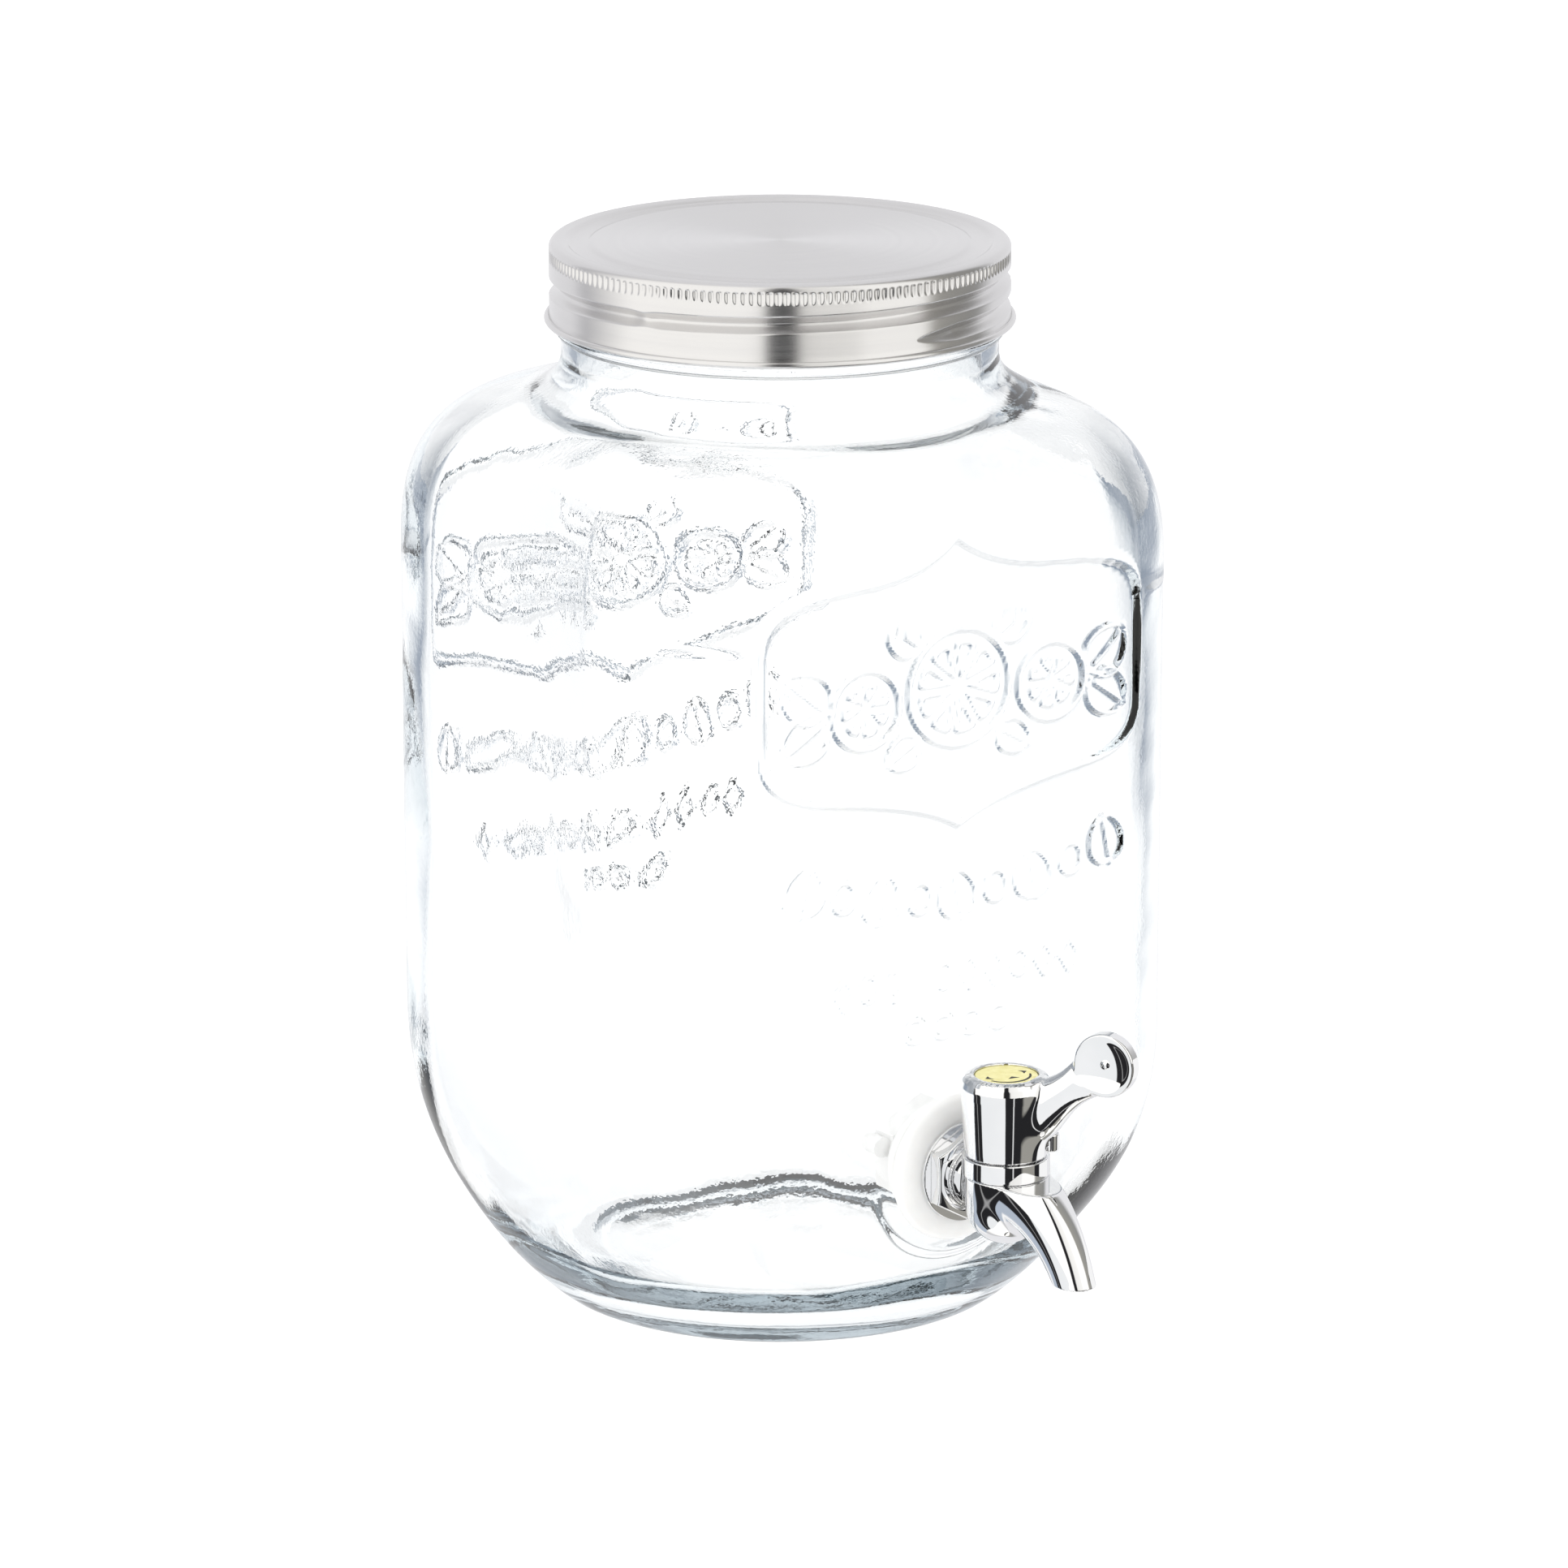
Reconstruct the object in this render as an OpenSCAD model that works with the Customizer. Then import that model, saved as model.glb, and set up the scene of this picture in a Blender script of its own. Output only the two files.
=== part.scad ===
// Glass beverage dispenser: a square glass jar with a screw lid and a lever tap.
// The jar stands on z = 0 with its axis on Z, and the tap leaves its front face towards -Y.

/* [Jar] */
// Width of the glass body across its flat faces
jar_w = 150; // [146:1:154]
// Radius of the body's upright corners
jar_corner = 39; // [36:1:42]
// Thickness of the glass wall
glass_t = 4; // [3:0.5:5]
// Outer radius of the neck
neck_r = 50.5; // [50:0.1:50.6]
// Radius of the mouth
mouth_r = 46.5; // [44:0.5:47]
// Outer radius of the ring that the jar stands on
foot_r = 53; // [50:1:56]
// Height over which the heel curves in to the foot
heel_h = 66; // [60:1:70]
// Height at which the shoulder starts to curve in
shoulder_z = 173.5; // [170:0.5:175]
// Height of the shoulder's curve
shoulder_h = 41.5; // [40:0.5:42]
// Thickness of the glass floor
floor_t = 8; // [6:1:10]

/* [Lid] */
// Outer radius of the lid's skirt
lid_r = 53.2; // [53:0.1:53.6]
// Thickness of the lid's sheet metal
lid_t = 0.6; // [0.5:0.1:0.7]
// Height of the lid's lowest edge
lid_low = 231.2; // [230.5:0.1:232]

/* [Tap] */
// Height of the tap's shank above the table
tap_z = 47; // [45:1:50]
// Distance from the jar's axis to the axis of the tap's barrel
barrel_d = 95.7; // [94:0.1:98]
// Radius of the shank
shank_r = 7.6; // [7:0.1:7.8]
// Outer radius of the barrel
barrel_r = 9.2; // [9:0.1:9.6]
// Angle that the lever rises at
lever_rise = 38; // [34:0.5:42]
// Distance from the barrel's axis to the centre of the lever's thumb disc
disc_out = 25.4; // [24:0.1:27]
// Radius of the thumb disc
disc_r = 7.4; // [6.8:0.1:8]
// Outer radius of the spout's end
spout_r = 4.8; // [4.5:0.1:5]

/* [Hidden] */
$fn = 48;

// Jar: the heel and the shoulder follow superellipses
jar_h = 247.3;
half_w = jar_w / 2;
corner_reach = (half_w - jar_corner) * sqrt(2) + jar_corner;
heel_n = 1.2;
heel_bulge = 47.5;
shoulder_n = 2.9;
shoulder_in = 40.5;
arc_steps = 12;
cut_proud = 1;
neck_foot = 217.5;
glass_bead_z = 229.5;
punt_r = 46.5;
punt_rise = 3.4;
tap_hole_r = 8.3;

// Lid and thread
lid_top = 250;
thread_lead = 6;
thread_z = 242.1;
thread_azimuth = -122.3;
thread_segments = 48;
lid_thread = [-447, -10];
jar_thread = [-420, -60];
liner_r = 51;
liner_low = jar_h + 0.1;
liner_t = 1;
bead_r = 0.8;

// Tap, with distances from the jar's axis
inner_d = half_w - glass_t;
gasket_t = 4;
flange_t = 1;
flange_d = half_w + gasket_t;
hex_d = flange_d + flange_t;
hex_across = 20;
hex_t = 4;
nut_across = 24;
nut_t = 7;
slip_t = 1.2;
inner_gasket_t = 3.8;
neck_tube_r = 7.2;
barrel_low = 34.6;
bore_r = 3.4;
chamber_r = 6.6;
collar_low = 51;
collar_top = 55.5;
collar_r = 10;
seat_r = 8.6;
tube_r = 7.9;
tube_top = 66;
plug_r = 6.3;
port_r = 3.6;
handle_low = 55.9;
handle_top = 74.5;
clip_z = 62.8;
o_ring_t = 0.52;
o_ring_r = chamber_r - 0.06 - o_ring_t;
upper_ring_z = 56.5;
lower_ring_z = 42.75;
disc_z = 81.2;
lever_turn = 30;
spout_tip = [123.7, 32.2];
spout_fall = 64;
spout_bend = 29.7;
spout_straight = 8;
spout_cut = 32.4;
tab_azimuth = -32.3;
post_azimuth = 75;

// Half of a superellipse's quarter arc: reach falls from full to stop while the height grows to h
function superarc(full, base, stop, h, n, steps) =
    let (last = acos(pow((stop - base) / (full - base), n / 2)))
    [for (i = [0:steps])
        let (t = last * i / steps)
        [base + (full - base) * pow(cos(t), 2 / n), h * pow(sin(t), 2 / n)]];

function flip(points) = [for (i = [len(points) - 1:-1:0]) points[i]];

// Outline of the body's corner section, from the foot to the neck
function body_points(reach, foot, low, t) = concat(
    [for (p = flip(superarc(reach, foot, foot, heel_h - low, heel_n, arc_steps)))
        [p[0], heel_h - p[1]]],
    [for (p = superarc(corner_reach + cut_proud - t, shoulder_in, neck_r - t,
                       shoulder_h - t, shoulder_n, arc_steps))
        [p[0], shoulder_z + p[1]]]);

module rounded_square(half, r) {
    square([2 * half, 2 * (half - r)], center = true);
    square([2 * (half - r), 2 * half], center = true);
    for (x = [-1, 1], y = [-1, 1])
        translate([x * (half - r), y * (half - r)])
            circle(r = r);
}

// A slab whose upper edges follow the shoulder of a flat face
module face_slab(t) {
    points = [for (p = superarc(half_w + cut_proud - t, shoulder_in, neck_r + 1.5 - t,
                                shoulder_h - t, shoulder_n, arc_steps))
        [p[0], shoulder_z + p[1]]];
    top = jar_h + 20;
    right = concat([[half_w + cut_proud - t, -10]], points, [[neck_r + 1.5 - t, top]]);
    left = [for (p = flip(right)) [-p[0], p[1]]];
    rotate([90, 0, 0])
        linear_extrude(2 * jar_w, center = true)
            polygon(concat(right, left));
}

// The jar's body without its neck, drawn in by t from the outside
module body_form(t, foot, low) {
    reach = foot_r + heel_bulge - t;
    top = shoulder_z + shoulder_h - t;
    intersection() {
        translate([0, 0, low - 1])
            linear_extrude(top - low + 10)
                rounded_square(half_w - t, jar_corner - t);
        rotate_extrude()
            polygon(concat([[0, low]], body_points(reach, foot, low, t), [[0, top - 0.2]]));
        face_slab(t);
        rotate(90)
            face_slab(t);
    }
}

// A ridge that climbs thread_lead a turn, standing from r_in out to r_out (or in, if r_out is less)
module thread_ridge(r_in, r_out, root_w, tip_w, z_at_front, turn) {
    n = round(thread_segments * (turn[1] - turn[0]) / 360);
    function section(k) =
        let (a = turn[0] + (turn[1] - turn[0]) * k / n)
        let (z = z_at_front + thread_lead * (a - thread_azimuth) / 360)
        let (grow = max(0.2, min(1, k / 4, (n - k) / 4)))
        let (r = r_in + (r_out - r_in) * grow)
        [for (q = [[r_in, -root_w], [r, -tip_w], [r, tip_w], [r_in, root_w]])
            [q[0] * cos(a), q[0] * sin(a), z + q[1] / 2 * grow]];
    points = [for (k = [0:n]) each section(k)];
    sides = [for (k = [0:n - 1], j = [0:3])
        let (a = 4 * k + j, b = 4 * k + (j + 1) % 4)
        each [[a, b, b + 4], [a, b + 4, a + 4]]];
    ends = [[0, 2, 1], [0, 3, 2], [4 * n, 4 * n + 1, 4 * n + 2], [4 * n, 4 * n + 2, 4 * n + 3]];
    all = concat(sides, ends);
    faces = r_out > r_in ? all : [for (f = all) [f[0], f[2], f[1]]];
    polyhedron(points, faces);
}

// Turns local +Z to -Y, so that a shape stacks outwards from distance d along the shank
module along_tap(d) {
    translate([0, -d, tap_z])
        rotate([90, 0, 0])
            children();
}

module at_barrel() {
    translate([0, -barrel_d, 0])
        children();
}

module ring(inner, outer, h) {
    difference() {
        cylinder(r = outer, h = h);
        translate([0, 0, -1])
            cylinder(r = inner, h = h + 2);
    }
}

module glass_jar() {
    neck_low = shoulder_z + shoulder_h - 6;
    color("azure", 0.4)
        difference() {
            union() {
                body_form(0, foot_r, 0);
                // neck, with the bead under the lid and a softened rim
                rotate_extrude()
                    polygon([[0, neck_low], [neck_r + 4, neck_low + 1], [neck_r + 4, neck_foot],
                             [neck_r + 1.4, neck_foot + 2], [neck_r, neck_foot + 5.5],
                             [neck_r, glass_bead_z - 1.3], [neck_r + 1.3, glass_bead_z - 0.5],
                             [neck_r + 1.3, glass_bead_z + 0.5], [neck_r, glass_bead_z + 1.3],
                             [neck_r, jar_h - 1], [neck_r - 1, jar_h], [0, jar_h]]);
                thread_ridge(neck_r - 1, neck_r + 1.5, 3, 1.6, thread_z + thread_lead / 2, jar_thread);
            }
            body_form(glass_t, foot_r + 1, floor_t);
            translate([0, 0, neck_low - 4])
                cylinder(r = mouth_r, h = jar_h);
            // hollow under the floor, so that the jar stands on a ring
            rotate_extrude()
                polygon([[0, -1], [punt_r, -1], [punt_r, 0], [punt_r - 2, 0.9], [30, punt_rise - 0.6],
                         [0, punt_rise]]);
            translate([0, 0, tap_z])
                rotate([90, 0, 0])
                    cylinder(r = tap_hole_r, h = jar_w);
        }
}

module lid_shell() {
    panel_r = 44;
    in_r = lid_r - lid_t;
    panel_z = lid_top - 0.3;
    dip_z = lid_top - 0.9;
    bead_z = lid_low + bead_r;
    color("silver")
        difference() {
            union() {
                rotate_extrude() {
                    polygon([[0, panel_z], [panel_r, panel_z], [panel_r + 1, dip_z],
                             [panel_r + 4, dip_z], [panel_r + 5.4, lid_top], [lid_r - 1.3, lid_top],
                             [lid_r - 0.3, lid_top - 0.4], [lid_r, lid_top - 1.3],
                             [lid_r, bead_z + 2.4], [lid_r + 0.5, bead_z + 0.4],
                             [in_r + 0.5, bead_z], [in_r, bead_z + 2.2], [in_r, lid_top - 1.4],
                             [lid_r - 1.4, lid_top - lid_t], [panel_r + 5.6, lid_top - lid_t],
                             [panel_r + 4.2, dip_z - lid_t], [panel_r + 0.8, dip_z - lid_t],
                             [panel_r - 0.2, panel_z - lid_t], [0, panel_z - lid_t]]);
                    translate([lid_r + 0.5, bead_z])
                        circle(r = bead_r);
                }
                thread_ridge(in_r + 0.2, in_r - 1.4, 3.4, 1.8, thread_z, lid_thread);
            }
            thread_ridge(lid_r + 0.5, lid_r - 1.1, 3.2, 0.9, thread_z, lid_thread);
        }
}

module lid_liner() {
    color("whitesmoke")
        translate([0, 0, liner_low])
            cylinder(r = liner_r, h = liner_t);
}

// Silicone ring between the glass and the flange, domed towards the tap
module outer_gasket() {
    color("ivory")
        along_tap(half_w)
            rotate_extrude()
                polygon([[8.1, 0], [17.4, 0], [17.4, 1.4], [16.6, 2.6], [14.5, 3.7], [12.6, gasket_t],
                         [8.1, gasket_t]]);
}

module inner_gasket() {
    color("ivory")
        along_tap(inner_d - inner_gasket_t)
            ring(shank_r + 0.3, 15, inner_gasket_t);
}

module slip_washer() {
    color("white")
        along_tap(inner_d - inner_gasket_t - slip_t)
            ring(shank_r + 0.3, 13.5, slip_t);
}

// Plastic hexagon nut with two small ears, tightened by hand inside the jar
module wing_nut() {
    ear_r = 2.4;
    ear_reach = 14.6;
    color("white")
        along_tap(inner_d - inner_gasket_t - slip_t - nut_t)
            difference() {
                union() {
                    rotate(30)
                        cylinder(r = nut_across / sqrt(3), h = nut_t, $fn = 6);
                    for (a = [163, 343])
                        rotate(a)
                            translate([0, 0, 1]) {
                                translate([ear_reach, 0, 0])
                                    cylinder(r = ear_r, h = nut_t - 2);
                                translate([ear_reach - 6, -ear_r + 0.4, 0])
                                    cube([6, 2 * ear_r - 0.8, nut_t - 2]);
                            }
                }
                translate([0, 0, -1])
                    cylinder(r = shank_r + 0.15, h = nut_t + 2);
            }
}

module front_flange() {
    color("gainsboro")
        along_tap(flange_d)
            difference() {
                rotate_extrude()
                    polygon([[0, 0], [11.7, 0], [11.9, 0.2], [11.9, 0.6], [11.6, flange_t], [0, flange_t]]);
                translate([0, 0, -1])
                    cylinder(r = shank_r + 0.1, h = 4);
            }
}

// Hexagon that clamps the flange, with its front corners turned off
module hex_nut() {
    corner = hex_across / sqrt(3);
    color("gainsboro")
        along_tap(hex_d)
            difference() {
                intersection() {
                    rotate(30)
                        cylinder(r = corner, h = hex_t, $fn = 6);
                    rotate_extrude()
                        polygon([[0, -1], [corner + 1, -1], [corner + 1, hex_t - 1.3], [9.6, hex_t],
                                 [0, hex_t]]);
                }
                translate([0, 0, -1])
                    cylinder(r = shank_r + 0.1, h = hex_t + 2);
            }
}

// Centre line of the spout, as [distance from the jar's axis, height], for a turn of a degrees
function spout_centre(a) = [
    spout_tip[0] - spout_bend * (sin(spout_fall) - sin(a)),
    spout_tip[1] + spout_bend * (cos(a) - cos(spout_fall))
];

// Round tube along the spout's bend whose radius goes from r_start to r_end
module spout_sweep(r_start, r_end, from, sides, rings) {
    points = [for (i = [0:rings])
        let (s = i / rings, a = from + (spout_fall - from) * s, c = spout_centre(a))
        let (r = r_end + (r_start - r_end) * pow(1 - s, 1.6))
        each [for (j = [0:sides - 1])
            let (b = 360 * j / sides, out = r * cos(b))
            [r * sin(b), -(c[0] + out * sin(a)), c[1] + out * cos(a)]]];
    sidewalls = [for (i = [0:rings - 1], j = [0:sides - 1])
        let (a = i * sides + j, b = i * sides + (j + 1) % sides)
        each [[a, b, b + sides], [a, b + sides, a + sides]]];
    last = rings * sides;
    caps = [for (j = [1:sides - 2]) each [[0, j + 1, j], [last, last + j, last + j + 1]]];
    polyhedron(points, concat(sidewalls, caps));
}

// The spout's straight end, as a cylinder that runs back from the tip
module spout_end(r, back, ahead) {
    translate([0, -spout_tip[0], spout_tip[1]])
        rotate([90 + spout_fall, 0, 0])
            translate([0, 0, -back])
                cylinder(r = r, h = back + ahead);
}

module tap_body() {
    color("gainsboro")
        difference() {
            union() {
                along_tap(inner_d - 15)
                    cylinder(r = shank_r, h = hex_d + hex_t - inner_d + 15);
                along_tap(hex_d + hex_t - 1)
                    cylinder(r = neck_tube_r, h = barrel_d - hex_d - hex_t - 2);
                // barrel with a round bottom, a seat for the collar and a guide tube for the handle
                at_barrel()
                    rotate_extrude()
                        polygon(concat(
                            [[0, barrel_low]],
                            [for (a = [15:15:90])
                                [barrel_r * sin(a), barrel_low + barrel_r * (1 - cos(a))]],
                            [[barrel_r, collar_low], [seat_r, collar_low], [seat_r, collar_top],
                             [tube_r, collar_top], [tube_r, tube_top], [0, tube_top]]));
                spout_sweep(barrel_r - 0.5, spout_r - 0.1, 0, 24, 12);
                spout_end(spout_r, spout_straight, 3);
            }
            along_tap(inner_d - 20)
                cylinder(r = port_r, h = barrel_d - inner_d + 20);
            at_barrel() {
                translate([0, 0, 41.5])
                    cylinder(r = chamber_r, h = 30);
                translate([0, 0, clip_z - 0.05])
                    cylinder(r = 7.15, h = 1.1);
                // room for the collar
                translate([0, 0, collar_low])
                    ring(seat_r, collar_r + 0.1, 20);
            }
            spout_sweep(bore_r + 0.1, bore_r - 0.1, 4, 16, 12);
            spout_end(bore_r, 6, 5);
            // the spout ends level
            translate([-10, -spout_tip[0] - 10, spout_cut - 20])
                cube(20);
        }
}

// Ring under the handle, with the post that stops it when the tap is fully open
module collar_ring() {
    post_r = 1;
    post_at = 11;
    post_low = 54.45;
    post_top = 60.05;
    color("gainsboro")
        at_barrel() {
            difference() {
                translate([0, 0, collar_low + 0.05])
                    cylinder(r = collar_r, h = collar_top - collar_low - 0.05);
                translate([0, 0, collar_low - 1])
                    cylinder(r = seat_r + 0.04, h = 20);
            }
            rotate(post_azimuth) {
                translate([9.2, -0.8, post_low])
                    cube([post_at - 9.2, 1.6, 0.9]);
                translate([post_at, 0, post_low])
                    cylinder(r = post_r, h = post_top - post_low);
            }
        }
}

// Split ring that keeps the plug in its chamber
module retaining_clip() {
    color("silver")
        at_barrel()
            translate([0, 0, clip_z])
                difference() {
                    ring(5.6, 7.1, 1);
                    translate([0, 5, 0.5])
                        cube([3, 6, 2], center = true);
                }
}

// Turning core of the valve: its cross port faces sideways when the tap is shut
module valve_plug() {
    plug_low = 42;
    color("dimgray")
        at_barrel()
            difference() {
                union() {
                    translate([0, 0, plug_low])
                        cylinder(r = plug_r, h = 61.9 - plug_low);
                    translate([0, 0, 60])
                        cylinder(r = 5.2, h = tube_top + 0.3 - 60);
                    translate([-2.6, -2.6, tube_top])
                        cube([5.2, 5.2, 3.6]);
                }
                for (z = [upper_ring_z, lower_ring_z])
                    translate([0, 0, z - o_ring_t])
                        ring(o_ring_r - o_ring_t, plug_r + 1, 2 * o_ring_t);
                translate([0, 0, tap_z])
                    rotate([0, 90, 0])
                        cylinder(r = port_r - 0.3, h = 20, center = true);
                translate([0, 0, plug_low - 1])
                    cylinder(r = port_r - 0.4, h = tap_z - plug_low + 1);
                translate([0, 0, 57])
                    cylinder(r = 1.35, h = 20);
            }
}

module o_ring(z) {
    color("black")
        at_barrel()
            translate([0, 0, z])
                rotate_extrude()
                    translate([o_ring_r, 0])
                        circle(r = o_ring_t);
}

module upper_o_ring() {
    o_ring(upper_ring_z);
}

module lower_o_ring() {
    o_ring(lower_ring_z);
}

module thrust_washer() {
    color("white")
        at_barrel()
            translate([0, 0, 61.95])
                ring(5.25, plug_r, 0.7);
}

// Cap over the barrel, with a lever that ends in an upright thumb disc, dished on both faces
module handle() {
    disc_t = 3.6;
    dish_r = 32;
    dish_depth = 0.9;
    reach = disc_out / cos(lever_rise);
    color("gainsboro")
        difference() {
            union() {
                at_barrel()
                    rotate_extrude()
                        polygon([[0, handle_low], [9.25, handle_low], [9.35, handle_low + 1.1],
                                 [10.25, handle_top - 4.5], [10.25, handle_top - 2.9],
                                 [10, handle_top - 1.7], [9.4, handle_top - 0.9], [8.6, handle_top],
                                 [0, handle_top]]);
                at_barrel()
                    rotate(lever_turn) {
                        // lever: waisted, tall at both ends, and thinner towards the disc
                        intersection() {
                            translate([0, -disc_out, disc_z])
                                rotate([90 - lever_rise, 0, 0])
                                    translate([0, 0, -reach])
                                        rotate_extrude()
                                            polygon([[0, 6], [6.2, 6], [6, 10], [5.2, 13.5], [4.4, 16.5],
                                                     [4.1, 19.5], [4.2, 22], [4.8, 25], [5.4, 28], [0, 28]]);
                            translate([0, 0, handle_low])
                                linear_extrude(40)
                                    polygon([[-6.3, -1], [-5, -10], [-3, -16], [-1.7, -21], [-1.5, -30],
                                             [1.5, -30], [1.7, -21], [3, -16], [5, -10], [6.3, -1]]);
                        }
                        translate([0, -disc_out, disc_z])
                            rotate([0, 90, 0])
                                difference() {
                                    cylinder(r = disc_r, h = disc_t, center = true);
                                    for (side = [-1, 1])
                                        translate([0, 0, side * (disc_t / 2 + dish_r - dish_depth)])
                                            sphere(r = dish_r);
                                }
                    }
                // tab that meets the collar's post
                at_barrel()
                    rotate(tab_azimuth)
                        translate([10.1, 0, 56.4])
                            cylinder(r = 2, h = 4.2);
            }
            at_barrel() {
                translate([0, 0, handle_low - 5])
                    cylinder(r = 8.3, h = tube_top + 0.6 - handle_low + 5);
                translate([-2.7, -2.7, tube_top])
                    cube([5.4, 5.4, 3.8]);
                translate([0, 0, tube_top])
                    cylinder(r = 1.7, h = 20);
                translate([0, 0, 70.8])
                    cylinder(r = 3.6, h = 20);
                translate([0, 0, handle_top - 0.7])
                    cylinder(r = 7.2, h = 20);
            }
        }
}

module handle_screw() {
    color("silver")
        at_barrel() {
            translate([0, 0, 58])
                cylinder(r = 1.3, h = 13.5);
            difference() {
                translate([0, 0, 71.2])
                    cylinder(r = 2.9, h = 1.7);
                for (a = [0, 90])
                    rotate(a)
                        translate([0, 0, 72.7])
                            cube([3.4, 0.7, 1.2], center = true);
            }
        }
}

module screw_washer() {
    color("silver")
        at_barrel()
            translate([0, 0, 70.8])
                ring(1.5, 3.3, 0.4);
}

module indicator_disc() {
    color("khaki")
        at_barrel()
            translate([0, 0, handle_top - 0.7])
                cylinder(r = 7.1, h = 0.4);
}

glass_jar();
lid_shell();
lid_liner();
outer_gasket();
inner_gasket();
slip_washer();
wing_nut();
front_flange();
hex_nut();
tap_body();
collar_ring();
retaining_clip();
valve_plug();
upper_o_ring();
lower_o_ring();
thrust_washer();
handle();
handle_screw();
screw_washer();
indicator_disc();
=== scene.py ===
"""Beverage dispenser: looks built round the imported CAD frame.

Lengths inside the builders are in mm. Lengths in the materials and on the stage are in metres.
"""
import math

import bmesh
import bpy
import numpy as np
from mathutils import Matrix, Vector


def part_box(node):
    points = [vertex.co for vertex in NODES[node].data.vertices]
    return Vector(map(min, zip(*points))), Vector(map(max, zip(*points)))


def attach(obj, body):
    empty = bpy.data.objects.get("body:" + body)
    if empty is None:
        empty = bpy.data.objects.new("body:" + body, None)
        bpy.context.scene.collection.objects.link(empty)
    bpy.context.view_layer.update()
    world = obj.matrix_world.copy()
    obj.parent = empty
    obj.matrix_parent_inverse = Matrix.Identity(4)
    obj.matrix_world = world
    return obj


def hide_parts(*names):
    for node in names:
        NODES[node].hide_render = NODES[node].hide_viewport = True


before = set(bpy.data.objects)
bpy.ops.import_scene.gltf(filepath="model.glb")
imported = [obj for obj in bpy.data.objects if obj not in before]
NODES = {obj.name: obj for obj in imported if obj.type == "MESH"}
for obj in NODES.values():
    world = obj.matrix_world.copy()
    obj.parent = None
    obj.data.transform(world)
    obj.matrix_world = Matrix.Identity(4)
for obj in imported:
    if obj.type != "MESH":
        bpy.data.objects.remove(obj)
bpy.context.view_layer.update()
MM = 0.001

# ---------------------------------------------------------------- driving sizes, in mm
HALF, CORNER, WALL = 75.0, 39.0, 4.0
NECK, MOUTH, RIM = 50.5, 46.5, 247.3
# the shoulder is a superellipse quarter: where it starts, its rise, its centre's radius, its power
SHOULDER_Z, SHOULDER_RISE, SHOULDER_MID, SHOULDER_POWER = 173.5, 42.3, 40.5, 2.9
GLASS_BEAD_Z, TAP_HOLE = 229.5, 8.3
LID_R, LID_BEAD, LID_LOW = 53.2, 0.8, 231.2
TAP_Z, BARREL = 47.0, 95.7
# screw thread: rise a turn, height at the front, and the azimuth the camera looks from, in degrees
LEAD, THREAD_Z, FRONT_AZ = 6.0, 240.9, -122.3
# depth of the moulded relief, as a multiple of its drawn height
RELIEF = 1.5


# ---------------------------------------------------------------- mesh helpers
def make(name, verts, faces, mat, normals=None, smooth=True):
    me = bpy.data.meshes.new(name)
    me.from_pydata((np.asarray(verts, float) * MM).tolist(), [], [tuple(f) for f in faces])
    me.validate()
    me.polygons.foreach_set("use_smooth", [smooth] * len(me.polygons))
    if normals is not None:
        me.normals_split_custom_set_from_vertices(np.asarray(normals, float).tolist())
    me.update()
    ob = bpy.data.objects.new(name, me)
    bpy.context.scene.collection.objects.link(ob)
    me.materials.append(mat)
    return ob


def outward(ob):
    bm = bmesh.new()
    bm.from_mesh(ob.data)
    bmesh.ops.recalc_face_normals(bm, faces=bm.faces)
    bm.to_mesh(ob.data)
    bm.free()
    return ob


def lathe(name, profile, mat, n=192, place=None, closed=True):
    """Revolves (r, h) points about the local axis. A closed profile is a ring's section."""
    p = np.asarray(profile, float)
    a = np.linspace(0, 2 * math.pi, n, endpoint=False)
    v = np.stack([p[:, 0][:, None] * np.cos(a), p[:, 0][:, None] * np.sin(a),
                  np.repeat(p[:, 1][:, None], n, 1)], -1).reshape(-1, 3)
    rows = len(p)
    faces = []
    for i in range(rows if closed else rows - 1):
        for j in range(n):
            b, c = i * n, ((i + 1) % rows) * n
            faces.append((b + j, b + (j + 1) % n, c + (j + 1) % n, c + j))
    ob = make(name, v if place is None else place(v), faces, mat)
    bm = bmesh.new()
    bm.from_mesh(ob.data)
    bmesh.ops.remove_doubles(bm, verts=bm.verts, dist=1e-6)
    bmesh.ops.recalc_face_normals(bm, faces=bm.faces)
    bm.to_mesh(ob.data)
    bm.free()
    return ob


def on_tap(v, d=0.0):
    """Local (x, y, along) to the row frame, with along running out of the front face."""
    return np.stack([v[:, 0], -(v[:, 2] + d), v[:, 1] + TAP_Z], -1)


def soft(points, rounds=2):
    """Corner cutting, so that a section's corners are rounded."""
    p = np.asarray(points, float)
    for _ in range(rounds):
        q = np.roll(p, -1, 0)
        p = np.stack([0.8 * p + 0.2 * q, 0.2 * p + 0.8 * q], 1).reshape(-1, 2)
    return p


# ---------------------------------------------------------------- distance fields and their mesher
def length(*c):
    return np.sqrt(sum(x * x for x in c))


def smin(a, b, k):
    h = np.maximum(k - np.abs(a - b), 0) / k
    return np.minimum(a, b) - h * h * k / 4


def smax(a, b, k):
    return -smin(-a, -b, k)


def rod(r, h, radius, low, high, edge=0.0):
    """Distance to a round rod, from the distance r to its axis and the height h along it."""
    q = np.stack([r - radius + edge, np.abs(h - (low + high) / 2) - (high - low) / 2 + edge])
    return np.minimum(q.max(0), 0) + length(np.maximum(q[0], 0), np.maximum(q[1], 0)) - edge


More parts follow.
